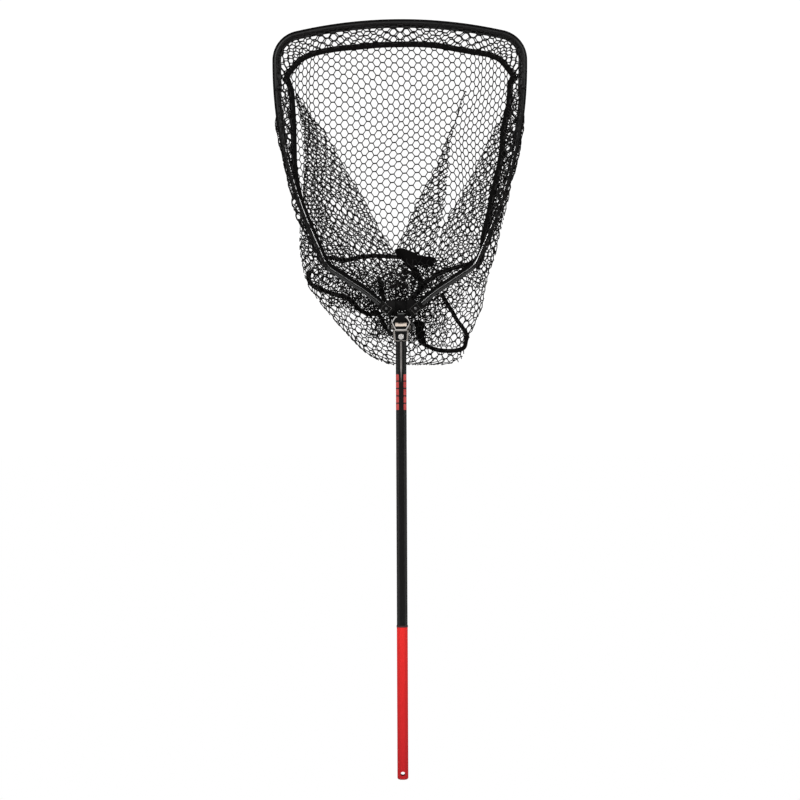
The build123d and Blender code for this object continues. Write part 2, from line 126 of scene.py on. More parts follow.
def gridFaces(rings, sides, closed=False):
    faces = []
    for i in range(rings if closed else rings - 1):
        for k in range(sides):
            here, there, after = i * sides, (i + 1) % rings * sides, (k + 1) % sides
            faces.append((here + k, here + after, there + after, there + k))
    if not closed:
        faces += [tuple(range(sides))[::-1], tuple(range((rings - 1) * sides, rings * sides))]
    return faces


def swept(name, line, section, material, facing=(0, -1, 0), closed=False, widths=1.0):
    # section: (across, out) points, out along the facing direction; UV runs across and along, in metres
    line = np.array(line, float)
    widths = np.broadcast_to(np.array(widths, float), len(line))[:, None, None]
    ahead = np.roll(line, -1, axis=0) - np.roll(line, 1, axis=0)
    if not closed:
        ahead[0], ahead[-1] = line[1] - line[0], line[-1] - line[-2]
    ahead /= np.linalg.norm(ahead, axis=1)[:, None]
    facing = np.broadcast_to(np.array(facing, float), line.shape)
    across = np.cross(ahead, facing)
    across /= np.linalg.norm(across, axis=1)[:, None]
    out = np.cross(across, ahead)
    section = np.array(section, float)
    points = (line[:, None] + across[:, None] * section[None, :, :1] * widths
              + out[:, None] * section[None, :, 1:])
    rings, sides = len(line), len(section)
    piece = addMesh(name, placed(points.reshape(-1, 3)), gridFaces(rings, sides, closed), material)
    along = runLengths(line) * mm
    layer = piece.data.uv_layers.new(name="run")
    around = section[:, 0] * mm
    for polygon in piece.data.polygons:
        wraps = closed and polygon.index // sides == rings - 1
        for loop in polygon.loop_indices:
            ring, place = divmod(piece.data.loops[loop].vertex_index, sides)
            length = along[-1] + along[1] if wraps and ring == 0 else along[ring]
            layer.data[loop].uv = (around[place], length)
    fixNormals(piece)
    return piece


def fixNormals(piece):
    work = bmesh.new()
    work.from_mesh(piece.data)
    bmesh.ops.recalc_face_normals(work, faces=work.faces)
    work.to_mesh(piece.data)
    work.free()


def flatSection(width, thickness):
    # a tape's section, a little fuller in the middle, with rolled edges
    half, edge = width / 2, thickness / 2
    upper = [(-half + edge * 0.4, edge * 0.8), (-half + 1.6 * edge, edge), (0, edge * 1.1),
             (half - 1.6 * edge, edge), (half - edge * 0.4, edge * 0.8)]
    lower = [(across, -out) for across, out in reversed(upper)]
    return [(-half, 0), *upper, (half, 0), *lower]


def roundedBox(halfAcross, halfUp, corner, count):
    # the outline of a rectangle with rounded corners, count points to each corner
    outline = []
    for number, (across, up) in enumerate([(1, 1), (-1, 1), (-1, -1), (1, -1)]):
        for turn in np.linspace(0, pi / 2, count) + number * pi / 2:
            outline.append((across * (halfAcross - corner) + corner * cos(turn),
                            up * (halfUp - corner) + corner * sin(turn)))
    return outline


def wobble(x, z, seed, size):
    # smooth crumple from a few crossed waves, about -1 to 1
    numbers = np.random.default_rng(seed)
    total = 0
    for _ in range(5):
        turn, shift, scale = numbers.uniform(0, 2 * pi), numbers.uniform(0, 2 * pi), numbers.uniform(0.6, 1.7)
        total = total + np.sin((x * cos(turn) + z * sin(turn)) * 2 * pi * scale / size + shift)
    return total / 2.6


# nodes

class Nodes:
    # a material's or group's tree with short calls to add and join nodes
    def __init__(self, tree):
        self.tree = tree

    def add(self, kind, **values):
        node = self.tree.nodes.new(kind)
        inputs = values.pop("inputs", {})
        for key, value in values.items():
            setattr(node, key, value)
        for key, value in inputs.items():
            if isinstance(value, bpy.types.NodeSocket):
                self.join(value, node.inputs[key])
            else:
                node.inputs[key].default_value = value
        return node

    def math(self, operation, a, b=0.0, clamp=False):
        node = self.add("ShaderNodeMath", operation=operation, use_clamp=clamp, inputs={0: a, 1: b})
        return node.outputs[0]

    def times(self, a, b, clamp=False):
        return self.math("MULTIPLY", a, b, clamp)

    def plus(self, a, b, clamp=False):
        return self.math("ADD", a, b, clamp)

    def split(self, vector):
        return self.add("ShaderNodeSeparateXYZ", inputs={0: vector}).outputs

    def join(self, start, end):
        self.tree.links.new(start, end)

    def finish(self, surface, colour, roughness, height, strength, depth=0.0004):
        bump = self.add("ShaderNodeBump", inputs={"Strength": strength, "Distance": depth, "Height": height})
        self.join(colour, surface.inputs["Base Color"])
        self.join(roughness, surface.inputs["Roughness"])
        self.join(bump.outputs[0], surface.inputs["Normal"])

    def blend(self, factor, a, b):
        node = self.add("ShaderNodeMix", data_type="RGBA", inputs={0: factor, 6: a, 7: b})
        return node.outputs[2]

    def ramp(self, factor, low, high):
        # black up to the low place, white from the high one
        node = self.add("ShaderNodeValToRGB", inputs={0: factor})
        black, white = node.color_ramp.elements
        black.position, white.position = low, high
        return node.outputs[0]


def newGroup(name, inputs, outputs, treeType="ShaderNodeTree"):
    tree = bpy.data.node_groups.new(name, treeType)
    for label, kind, *value in inputs:
        socket = tree.interface.new_socket(label, in_out="INPUT", socket_type="NodeSocket" + kind)
        if value:
            socket.default_value = value[0]
    for label, kind in outputs:
        tree.interface.new_socket(label, in_out="OUTPUT", socket_type="NodeSocket" + kind)
    nodes = Nodes(tree)
    return nodes, nodes.add("NodeGroupInput"), nodes.add("NodeGroupOutput")


def grainGroup():
    # fine pebble and slow patches, for moulded and coated surfaces
    nodes, source, result = newGroup(
        "surfaceGrain",
        [("Vector", "Vector"), ("Size", "Float", 0.001)],
        [("Pebble", "Float"), ("Patches", "Float")])
    fine = nodes.math("DIVIDE", 1.0, source.outputs["Size"])
    pebble = nodes.add("ShaderNodeTexNoise", inputs={
        "Vector": source.outputs["Vector"], "Scale": fine, "Detail": 3.0, "Roughness": 0.6})
    slow = nodes.add("ShaderNodeTexNoise", inputs={
        "Vector": source.outputs["Vector"], "Scale": nodes.times(fine, 0.03), "Detail": 4.0})
    nodes.join(pebble.outputs[0], result.inputs["Pebble"])
    nodes.join(slow.outputs[0], result.inputs["Patches"])
    return nodes.tree


def twillGroup():
    # a woven cloth under lacquer: bright and dark floats on a slant, on two axes of the piece
    nodes, source, result = newGroup(
        "carbonTwill",
        [("Vector", "Vector"), ("Tow", "Float", 0.002)],
        [("Weave", "Float")])
    x, y, z = nodes.split(source.outputs["Vector"])
    across = nodes.math("DIVIDE", nodes.plus(x, y), source.outputs["Tow"])
    along = nodes.math("DIVIDE", z, source.outputs["Tow"])
    warp = nodes.math("FLOOR", across)
    weft = nodes.math("FLOOR", along)
    step = nodes.math("FLOORED_MODULO", nodes.plus(warp, weft), 4.0)
    over = nodes.math("LESS_THAN", step, 1.5)
    edgeAcross = nodes.math("PINGPONG", across, 0.5)
    edgeAlong = nodes.math("PINGPONG", along, 0.5)
    bright = nodes.times(over, nodes.plus(edgeAcross, 0.5))
    dark = nodes.times(nodes.math("SUBTRACT", 1.0, over), edgeAlong)
    nodes.join(nodes.plus(bright, dark), result.inputs["Weave"])
    return nodes.tree


def ribGroup():
    # a tape's weave: cross ribs with a finer thread between, from a UV map in metres
    nodes, source, result = newGroup(
        "tapeWeave",
        [("Vector", "Vector"), ("Rib", "Float", 0.0012)],
        [("Height", "Float")])
    x, y = nodes.split(source.outputs["Vector"])[:2]
    along = nodes.math("DIVIDE", y, source.outputs["Rib"])
    across = nodes.math("DIVIDE", x, source.outputs["Rib"])
    ribs = nodes.math("PINGPONG", along, 0.5)
    shifted = nodes.plus(across, nodes.times(nodes.math("FLOOR", along), 0.5))
    threads = nodes.math("PINGPONG", shifted, 0.5)
    nodes.join(nodes.plus(ribs, nodes.times(threads, 0.7)), result.inputs["Height"])
    return nodes.tree


groups = {"grain": grainGroup(), "twill": twillGroup(), "ribs": ribGroup()}


def newMaterial(name, shine, metal=0.0):
    material = bpy.data.materials.new(name)
    material.use_nodes = True
    surface = material.node_tree.nodes["Principled BSDF"]
    surface.inputs["Specular IOR Level"].default_value = shine
    surface.inputs["Metallic"].default_value = metal
    return material, Nodes(material.node_tree), surface


def placeGroup(nodes, name, vector, **values):
    return nodes.add("ShaderNodeGroup", node_tree=groups[name], inputs={"Vector": vector, **values})


def coated(name, colour, tint, roughness, spread, grain, bump, shine=0.5, metal=0.0):
    # one finish with grain, patches of wear in its gloss and a slightly changing colour
    material, nodes, surface = newMaterial(name, shine, metal)
    vector = nodes.add("ShaderNodeTexCoord").outputs["Object"]
    node = placeGroup(nodes, "grain", vector, Size=grain)
    patches = nodes.ramp(node.outputs["Patches"], 0.35, 0.65)
    change = nodes.times(nodes.math("SUBTRACT", node.outputs["Patches"], 0.5), spread)
    nodes.finish(surface, nodes.blend(patches, (*colour, 1), (*tint, 1)),
                 nodes.plus(roughness, change), node.outputs["Pebble"], bump)
    return material


# sizes and heights in metres
carbon = {"tow": 0.0021, "grain": 0.0012, "dark": (0.002, 0.0019, 0.0018, 1),
          "pale": (0.012, 0.0113, 0.011, 1), "clothFrom": 0.25, "clothRise": 1.6, "roughness": 0.36}
# grip: low and high are its one red under painted shade at the foot and painted light at the top; worn is real
# wear
grip = {"grain": 0.0007, "low": (0.52, 0.012, 0.016, 1), "high": (0.9, 0.024, 0.02, 1),
        "worn": (0.45, 0.012, 0.016, 1), "paintedLightFrom": -0.2, "paintedLightRise": 2.6, "roughness": 0.42}
webbing = {"rib": 0.0013, "grain": 0.001, "dark": (0.0014, 0.0012, 0.0012, 1),
           "pale": (0.006, 0.0052, 0.005, 1), "roughness": 0.72}


def carbonFinish():
    material, nodes, surface = newMaterial("carbon_tube", 0.25)
    vector = nodes.add("ShaderNodeTexCoord").outputs["Object"]
    weave = placeGroup(nodes, "twill", vector, Tow=carbon["tow"]).outputs["Weave"]
    grain = placeGroup(nodes, "grain", vector, Size=carbon["grain"])
    height = nodes.split(vector)[2]
    # the cloth shows near the hinge and is lost under the coat towards the grip
    above = nodes.math("SUBTRACT", height, carbon["clothFrom"])
    mask = nodes.times(weave, nodes.times(above, carbon["clothRise"], clamp=True))
    speckle = nodes.times(grain.outputs["Pebble"], 0.35)
    level = nodes.plus(nodes.times(mask, 0.6), speckle, clamp=True)
    nodes.finish(surface, nodes.blend(level, carbon["dark"], carbon["pale"]),
                 nodes.math("SUBTRACT", carbon["roughness"], nodes.times(mask, 0.1)), weave, 0.12, 0.0002)
    return material


def gripFinish():
    # red skin with a fine grain, paler towards its upper end: painted light, as if lit from above
    material, nodes, surface = newMaterial("grip_red", 0.18)
    vector = nodes.add("ShaderNodeTexCoord").outputs["Object"]
    grain = placeGroup(nodes, "grain", vector, Size=grip["grain"])
    height = nodes.split(vector)[2]
    # painted light: the red goes paler with height, as if lit from above
    above = nodes.plus(height, -grip["paintedLightFrom"])
    fade = nodes.times(above, grip["paintedLightRise"], clamp=True)
    worn = nodes.times(grain.outputs["Patches"], 0.25)
    nodes.finish(surface, nodes.blend(worn, nodes.blend(fade, grip["low"], grip["high"]), grip["worn"]),
                 nodes.plus(grip["roughness"], nodes.times(grain.outputs["Pebble"], 0.2)),
                 grain.outputs["Pebble"], 0.25)
    return material


def tapeFinish():
    material, nodes, surface = newMaterial("tape_black", 0.06)
    vector = nodes.add("ShaderNodeUVMap", uv_map="run").outputs[0]
    ribs = placeGroup(nodes, "ribs", vector, Rib=webbing["rib"]).outputs["Height"]
    place = nodes.add("ShaderNodeTexCoord").outputs["Object"]
    patches = placeGroup(nodes, "grain", place, Size=webbing["grain"]).outputs["Patches"]
    level = nodes.times(ribs, patches, clamp=True)
    nodes.finish(surface, nodes.blend(level, webbing["dark"], webbing["pale"]),
                 nodes.plus(webbing["roughness"], nodes.times(ribs, 0.15)), ribs, 0.5)
    return material


finishes = {
    # two colours, roughness and how far it varies, grain size, bump strength, shine, metal
    "collar_dark": ((0.035, 0.006, 0.008), (0.06, 0.01, 0.012), 0.55, 0.2, 0.0006, 0.2),
    "aluminium": ((0.34, 0.315, 0.29), (0.46, 0.43, 0.4), 0.36, 0.3, 0.0009, 0.2, 0.5, 0.6),
    "polished_metal": ((0.62, 0.6, 0.58), (0.72, 0.7, 0.68), 0.25, 0.2, 0.0015, 0.05, 0.5, 0.3),
    "steel": ((0.2, 0.2, 0.2), (0.28, 0.28, 0.28), 0.3, 0.3, 0.001, 0.1, 0.5, 0.8),
    "black_plastic": ((0.0016, 0.0015, 0.0015), (0.0035, 0.0032, 0.0032), 0.38, 0.2, 0.0007, 0.15, 0.15),
    "cream_plastic": ((0.66, 0.56, 0.48), (0.74, 0.64, 0.55), 0.32, 0.15, 0.002, 0.05),
    "black_casting": ((0.002, 0.0019, 0.0018), (0.005, 0.0046, 0.0044), 0.3, 0.25, 0.0009, 0.25, 0.2),
    "hoop_black": ((0.002, 0.002, 0.002), (0.004, 0.004, 0.004), 0.19, 0.12, 0.0025, 0.06, 0.8),
    "net_rubber": ((0.004, 0.0036, 0.0036), (0.010, 0.0088, 0.0086), 0.55, 0.3, 0.0008, 0.3, 0.15),
    # finishes that only pieces made here have
    "sleeve": ((0.0014, 0.0013, 0.0013), (0.003, 0.0027, 0.0027), 0.42, 0.2, 0.002, 0.06, 0.2),
    # pale grey for painted highlights on the clamps' chamfered edges
    "painted_edge_highlight": ((0.13, 0.125, 0.12), (0.24, 0.23, 0.22), 0.4, 0.3, 0.0012, 0.1, 0.5, 0.3),
    # grey for a painted highlight on the thumb slide's top ridge
    "ridge": ((0.05, 0.055, 0.053), (0.08, 0.085, 0.082), 0.5, 0.2, 0.0006, 0.2),
    "bars": ((0.5, 0.055, 0.05), (0.62, 0.09, 0.085), 0.5, 0.2, 0.0008, 0.1, 0.3),
    # pale grey for the painted highlight down the handle's front facet
    "paintedHighlight": ((0.11, 0.1, 0.095), (0.2, 0.185, 0.175), 0.4, 0.2, 0.001, 0.1),
}
materials = {name: coated(name, *values) for name, values in finishes.items()}
materials.update(carbon_tube=carbonFinish(), grip_red=gripFinish(), tape_black=tapeFinish())
for subpart in subparts:
    slots = frame["nodes"][subpart["node"]].data.materials
    slots.clear()
    slots.append(materials[subpart["material_slot"]])
print("materials on", len(subparts), "nodes")


# netting: strands laid out on a surface, then given their thickness by Geometry Nodes

netting = {
    "column": 13.4,  # from one column of cells to the next
    "row": 20.2,  # from one cell to the one above it
    "bar": 7.4,  # the short level bar between two cells
    "barRadius": 1.65,
    "sideRadius": 1.18,
    "knot": 1.12,  # how much a slanted strand swells where it meets a bar
    "sides": 5,
    "places": 13,  # places tried along each strand
    "least": 3,  # of those, how many have to lie on the sheet
    "beyond": 60.0,  # how far past its sheet the pattern is laid out
    "across": 150,  # points across a sheet's sections
}


def strandTree():
    nodes, source, result = newGroup(
        "knottedStrands",
        [("Geometry", "Geometry"), ("Sides", "Int"), ("Finish", "Material")],
        [("Geometry", "Geometry")], "GeometryNodeTree")
    thickness = nodes.add("GeometryNodeInputNamedAttribute", data_type="FLOAT", inputs={"Name": "thickness"})
    lines = nodes.add("GeometryNodeMeshToCurve", inputs={0: source.outputs["Geometry"]})
    ring = nodes.add("GeometryNodeCurvePrimitiveCircle", inputs={
        "Resolution": source.outputs["Sides"], "Radius": 1.0})
    tubes = nodes.add("GeometryNodeCurveToMesh", inputs={
        "Curve": lines.outputs[0], "Profile Curve": ring.outputs[0],
        "Scale": thickness.outputs["Attribute"], "Fill Caps": True})
    smooth = nodes.add("GeometryNodeSetShadeSmooth", inputs={0: tubes.outputs[0]})
    real = nodes.add("GeometryNodeRealizeInstances", inputs={0: smooth.outputs[0]})
    paint = nodes.add("GeometryNodeSetMaterial", inputs={
        "Geometry": real.outputs[0], "Material": source.outputs["Finish"]})
    nodes.join(paint.outputs[0], result.inputs[0])
    return nodes.tree


strands = strandTree()


class Surface:
    # sections at many levels, each resampled, so that (along, level) gives a point on the sheet
    def __init__(self, levels, section, anchor="start"):
        self.levels = np.array(levels, float)
        lines = [section(level) for level in levels]
        self.lengths = np.array([np.linalg.norm(np.diff(line, axis=0), axis=1).sum() for line in lines])
        self.rows = np.array([resampled(line, count=netting["across"]) for line in lines])
        self.anchor = anchor

    def share(self, u, v):
        share = u / np.maximum(np.interp(v, self.levels, self.lengths), 0.01)
        return {"start": share, "end": 1 - share, "middle": 0.5 + share}[self.anchor]

    def inside(self, u, v):
        share = self.share(u, v)
        return (share >= 0) & (share <= 1) & (v >= self.levels[0]) & (v <= self.levels[-1])

    def at(self, u, v):
        share = np.clip(self.share(u, v), 0, 1) * (self.rows.shape[1] - 1)
        level = np.clip(np.interp(v, self.levels, np.arange(len(self.levels))), 0, len(self.levels) - 1.001)
        i, k = level.astype(int), np.minimum(share.astype(int), self.rows.shape[1] - 2)
        a, b = (level - i)[:, None], (share - k)[:, None]
        low = self.rows[i, k] * (1 - b) + self.rows[i, k + 1] * b
        high = self.rows[i + 1, k] * (1 - b) + self.rows[i + 1, k + 1] * b
        return low * (1 - a) + high * a


def netOn(surface, angle=0.0, offset=(0.0, 0.0), scale=(1.0, 1.0), swap=False, thin=1.0):
    # the strands of one sheet: points, edges and each point's radius; angle turns the pattern, in degrees
    column, row, bar = netting["column"], netting["row"], netting["bar"]
    reach = surface.lengths.max() * 1.05 + netting["beyond"]
    low, high = surface.levels[0] - netting["beyond"], surface.levels[-1] + netting["beyond"]
    spans = np.array([[-reach, reach], [low, high]])[::-1 if swap else 1]
    middle, half = spans.sum(1) / 2, np.ptp(spans, axis=1) / 2
    if angle:
        half[:] = half.max() * 1.5
    counts = (half / (column, row) / scale).astype(int)
    i, j = (grid.ravel() for grid in np.meshgrid(*(np.arange(-n - 1, n + 2) for n in counts)))
    u, v = i * column, (j + 0.5 * (i % 2)) * row
    # each cell gives one level bar and two slanted strands to its neighbours
    left, right, over = u - bar / 2, u + bar / 2, u + column - bar / 2
    start = np.stack([np.concatenate([left, right, right]), np.tile(v, 3)], 1)
    end = np.stack([np.concatenate([right, over, over]), np.concatenate([v, v + row / 2, v - row / 2])], 1)
    isBar = np.repeat([True, False, False], len(u))
    cosine, sine = cos(radians(angle)), sin(radians(angle))
    turn = np.array([[cosine, -sine], [sine, cosine]])
    start, end = ((side * np.array(scale)) @ turn.T + middle + np.array(offset) for side in (start, end))
    if swap:
        start, end = start[:, ::-1], end[:, ::-1]
    # a strand that runs off the sheet is cut where it leaves
    shares = np.linspace(0, 1, netting["places"])
    flat = (start[:, None] + (end - start)[:, None] * shares[None, :, None]).reshape(-1, 2)
    good = surface.inside(flat[:, 0], flat[:, 1]).reshape(len(start), -1)
    chosen = good.sum(1) >= netting["least"]
    first = np.argmax(good, 1)
    last = len(shares) - 1 - np.argmax(good[:, ::-1], 1)
    points, edges, thickness, base = [], [], [], 0
    thick, thinner = netting["sideRadius"] * netting["knot"], netting["sideRadius"]
    for kind, radii in ((isBar, [netting["barRadius"]] * 2), (~isBar, [thick, thinner, thick])):
        picked, parts = chosen & kind, len(radii)
        a, b = shares[first[picked]], shares[last[picked]]
        steps = a[:, None] + (b - a)[:, None] * np.linspace(0, 1, parts)[None]
        line = start[picked][:, None] + (end - start)[picked][:, None] * steps[..., None]
        points.append(surface.at(line[..., 0].ravel(), line[..., 1].ravel()))
        order = base + np.arange(len(line) * parts).reshape(-1, parts)
        edges.append(np.stack([order[:, :-1].ravel(), order[:, 1:].ravel()], 1))
        thickness.append(np.tile(np.array(radii) * thin, len(line)))
        base = len(points[0])
    return np.vstack(points), np.vstack(edges), np.concatenate(thickness)


def netPiece(name, sheets):
    points, edges, thickness, base = [], [], [], 0
    for part in sheets:
        points.append(part[0])
        edges.append(part[1] + base)
        thickness.append(part[2])
        base += len(part[0])
    edges, material = np.vstack(edges), materials["net_rubber"]
    values = {"Sides": netting["sides"], "Finish": material}
    piece = addMesh(name, placed(np.vstack(points)), [], material, edges.tolist())
    layer = piece.data.attributes.new("thickness", "FLOAT", "POINT")
    layer.data.foreach_set("value", np.concatenate(thickness).astype(np.float32) * mm)
    modifier = piece.modifiers.new("strands", "NODES")
    modifier.node_group = strands
    for socket in strands.interface.items_tree:
        if socket.name in values:
            modifier[socket.identifier] = values[socket.name]
    evaluated = piece.evaluated_get(bpy.context.evaluated_depsgraph_get())
    mesh = bpy.data.meshes.new_from_object(evaluated)
    piece.modifiers.clear()
    piece.data = mesh
    mesh.attributes.remove(mesh.attributes["thickness"])
    print(name, len(edges), "strand runs", len(mesh.polygons), "faces")
    return piece


# hoop line and the hem's line inside it

hoop = {
    "corners": [(26, 35), (84, 83.2), (176.7, 143), (293, 417), (293, 680.3), (0, 742.6)],
    "bends": [200, 60, 1000, 63, 1100],  # the radius at each corner after the first, the top's last
    "tubeRadius": 7.0,
    "step": 4.0,
}
rightSide = roundedLine(hoop["corners"] + [(-293, 680.3)], hoop["bends"])
rightSide = rightSide[rightSide[:, 0] >= 0]
# left foot, over the top, right foot
hoopLine = resampled(np.vstack([rightSide * (-1, 1), rightSide[::-1]]), hoop["step"])


def hoopAcross(z):
    return float(np.interp(z, rightSide[:, 1], rightSide[:, 0]))


hem = {
    "left": [
        (-240, 318), (-246, 350), (-250, 385), (-251, 430), (-252, 480), (-254, 520), (-256, 552),
        (-261, 572), (-269, 592)],
    "top": [
        (-271, 578), (-267, 590), (-261, 601), (-248, 617), (-234, 631), (-212, 642), (-189, 649),
        (-142, 657), (-94, 661), (-47, 665), (0, 666), (47, 666), (94, 662), (142, 653), (189, 645),
        (214, 640), (238, 628), (257, 606), (268, 590), (272, 578)],
    "right": [
        (269, 592), (261, 570), (258, 530), (252, 500), (244, 465), (241, 420), (233, 372), (220, 318),
        (207, 255), (197, 215), (193, 182), (188, 155)],
    "foot": 50.0,  # where the tape's ends go in behind the hinge
    "armTops": (300.0, 136.0),  # how far up the left and right arms the tape keeps to the tube
    "inset": 4.0,  # from the tube's middle, where the tape runs along the arms
    "width": 14.2,
    "thickness": 3.4,
}


def armLine(side, top):
    low = rightSide[(rightSide[:, 1] > hem["foot"]) & (rightSide[:, 1] < top)]
    ahead = np.gradient(low, axis=0)
    ahead /= np.linalg.norm(ahead, axis=1)[:, None]
    line = low + np.stack([-ahead[:, 1], ahead[:, 0]], 1) * hem["inset"]
    return line[::3] * (side, 1)


hemLeft = curveThrough(np.vstack([armLine(-1, hem["armTops"][0]), hem["left"]]))
hemTop = curveThrough(hem["top"])
hemRight = curveThrough(np.vstack([hem["right"], armLine(1, hem["armTops"][1])[::-1]]))
# one line round the hem, without the ends that overlap
hemLine = np.vstack([hemLeft[:-6], hemTop[3:-3], hemRight[5:]])


def hemAcross(side, z):
    # the hem's two halves meet where x is least, among its high points
    middle = int(np.argmin(np.abs(hemLine[:, 0]) + (hemLine[:, 1] < 400) * 1000))
    half = hemLine[:middle] if side < 0 else hemLine[:middle:-1]
    return float(np.interp(z, half[:, 1], half[:, 0]))


def hemPlace(line, y):
    return np.insert(line, 1, y, axis=1)


# the bag: a wall right across the back, pleats folded over it, a front wall below and beside the arms

bag = {
    "bottom": -91.0,
    "depth": [
        (-91, 100), (-60, 132), (60, 143), (190, 140), (300, 122), (390, 104), (500, 78), (590, 46),
        (640, 20), (667, 2)],
    "edgeDepth": [
        (-91, 88), (-60, 70), (0, 58), (200, 46), (390, 40), (480, 32), (520, 20), (558, 7), (600, 3),
        (667, 2)],
    "frontDepth": [(-91, 84), (-60, 60), (0, 42), (40, 36), (60, 20), (86, 8)],
    "leftEdge": [
        (-91, -20), (-86, -38), (-70, -71), (-55, -92), (-41, -106), (-15, -130), (37, -175), (74, -203),
        (105, -222), (161, -235), (197, -238), (250, -236), (300, -231), (420, -228), (500, -236),
        (540, -248), (560, -259), (584, -271)],
    "rightEdge": [
        (-91, 100), (-88, 128), (-74, 144), (-34, 158), (-1, 172), (27, 184), (51, 194), (81, 198),
        (129, 210), (169, 224), (204, 231), (251, 243), (299, 255), (346, 263), (420, 268), (500, 268),
        (560, 266), (584, 270)],
    "leftFold": [
        (84, 20), (120, 15), (184, -16), (247, -55), (310, -87), (365, -122), (456, -173), (499, -208),
        (558, -248)],
    "leftInner": [
        (84, -40), (130, -80), (200, -125), (256, -166), (310, -178), (365, -176), (456, -198), (500, -214),
        (540, -232)],
    "rightFold": [
        (84, 50), (150, 76), (210, 90), (255, 108), (294, 132), (330, 153), (361, 169), (400, 189),
        (440, 208), (480, 232), (511, 248), (530, 252)],
    "stripFold": [
        (84, 40), (150, -8), (200, -4), (224, 8), (287, 35), (334, 59), (373, 82), (405, 94), (436, 106),
        (468, 122), (495, 133), (538, 146), (562, 157)],
    "stripEdge": [
        (84, 60), (184, 83), (224, 91), (271, 102), (314, 108), (350, 110), (393, 116), (436, 119),
        (472, 129), (495, 136), (538, 150), (562, 161)],
    "top": 667.0,
    "hemFrom": 584.0,  # above this the wall's edge keeps to the hem
    "armsMeet": 48.0,  # below this the two front walls meet in the middle
    "level": 7.0,  # from one section of a sheet to the next
    "points": 140,
    "swell": (2.6, 0.62),  # how squarely the wall bulges back from its edges
}
# upright waves near the wall's edges, which draw the cells narrow, and where they start on each side
gather = {"rise": 8.0, "run": 29.0, "fade": 16.0, "besideStrip": 4.0, "leftStart": 190.0, "leftLean": 0.1,
          "leftHeight": 540.0, "low": 180.0, "lowFade": 80.0}
# loose folds low in the wall
slack = {"rise": 6.0, "below": 260.0, "fade": 200.0, "seed": 11, "size": 90}
# how far the wall's cells lean and stretch, and over what distance that fades at its edges, foot and top
pull = {"far": 6.0, "edgeFade": 110, "footFade": 120, "topFade": 90, "across": (41, 320), "up": (43, 360)}
pleat = {"front": 3.0, "turnShare": 0.55, "gap": 5, "points": 40, "hollow": 1.4, "evened": 5, "swing": 5,
         "seed": 5, "size": 110}
strip = {"front": 3, "spread": 16, "points": 30}
front = {"points": 60, "fullness": 0.8, "rise": 4, "seed": 23, "size": 80}
foot = {"points": 80, "inset": 5, "frontGap": 14, "backGap": 10, "frontTop": 60, "rise": 12, "size": 70,
        "liftRise": 7, "liftSize": 60}
bagLines = {key: curveThrough(value, 2.0) for key, value in bag.items() if isinstance(value, list)}


def along(key, z):
    return float(np.interp(z, *bagLines[key].T))


def edgeKey(side):
    return "leftEdge" if side < 0 else "rightEdge"


def edgeAt(side, z):
    return hemAcross(side, z) if z > bag["hemFrom"] else along(edgeKey(side), z)


def atLevel(x, y, z):
    return np.stack([x, y, np.full_like(x, z)], 1)


def wallDepth(x, z, edge):
    share = np.clip(np.abs(x / edge), 0, 1)
    swell = (1 - share ** bag["swell"][0]) ** bag["swell"][1]
    return along("edgeDepth", z) + (along("depth", z) - along("edgeDepth", z)) * swell


def wallSection(side, z):
    edge = edgeAt(side, z)
    x = edge * np.sin(np.linspace(0, pi / 2, bag["points"]))
    y = wallDepth(x, z, edge)
    if side > 0:
        start = along("stripEdge", z) + gather["besideStrip"]
    else:
        start = gather["leftStart"] - gather["leftLean"] * abs(z - gather["leftHeight"])
    beyond = np.abs(x) - start
    strength = np.clip(beyond / gather["fade"], 0, 1) * np.clip((z - gather["low"]) / gather["lowFade"], 0, 1)
    y = y - gather["rise"] * strength * np.sin(beyond * 2 * pi / gather["run"])
    loose = np.clip((slack["below"] - z) / slack["fade"], 0, 1)
    return atLevel(x, y + loose * slack["rise"] * wobble(x, z, slack["seed"], slack["size"]), z)


def pleatSection(side, z, key, toHem=True):
    # from the edge in to the fold, and back out to the hem or to the edge again
    edge, fold, count = edgeAt(side, z), along(key, z), pleat["points"]
    hemX = hemAcross(side, z) if toHem else edge
    back = along("edgeDepth", z)
    turn = back * pleat["turnShare"]
    share = np.linspace(0, 1, count)
    first = np.stack([np.linspace(edge, fold, count), back + (turn + pleat["gap"] - back) * share], 1)
    second = np.stack([np.linspace(fold, hemX, count),
                       turn + (pleat["front"] - turn) * share ** pleat["hollow"]], 1)
    kernel = np.ones(pleat["evened"]) / pleat["evened"]
    x, y = (np.convolve(np.pad(column, pleat["evened"] // 2, mode="edge"), kernel, "valid")
            for column in np.vstack([first, second]).T)
    swing = pleat["swing"] * wobble(x, z, pleat["seed"] + side, pleat["size"])
    return atLevel(x, y + swing * np.sin(np.linspace(0, pi, len(x))), z)


def leftInnerSection(z):
    # only the layer that runs from the edge in to the fold
    return pleatSection(-1, z, "leftInner", False)[:pleat["points"]]


def stripSection(z):
    edge, fold, count = along("stripEdge", z), along("stripFold", z), strip["points"]
    x = np.concatenate([np.linspace(edge, fold, count), np.linspace(fold, edge, count)])
    out = strip["front"] + strip["spread"] * np.linspace(0, 1, 2 * count)
    return atLevel(x, wallDepth(x, z, edgeAt(1, z)) - out, z)


def frontSection(side, z):
    edge = edgeAt(side, z)
    inner = hoopAcross(z) * side if z > bag["armsMeet"] else 0.0
    x = edge + (inner - edge) * np.sin(np.linspace(0, pi / 2, front["points"]))
    share = (x - edge) / (inner - edge)
    back, near = along("edgeDepth", z), along("frontDepth", z)
    y = back + (near - back) * share ** front["fullness"]
    swing = front["rise"] * wobble(x, z, front["seed"], front["size"])
    return atLevel(x, y + swing * np.sin(share * pi), z)


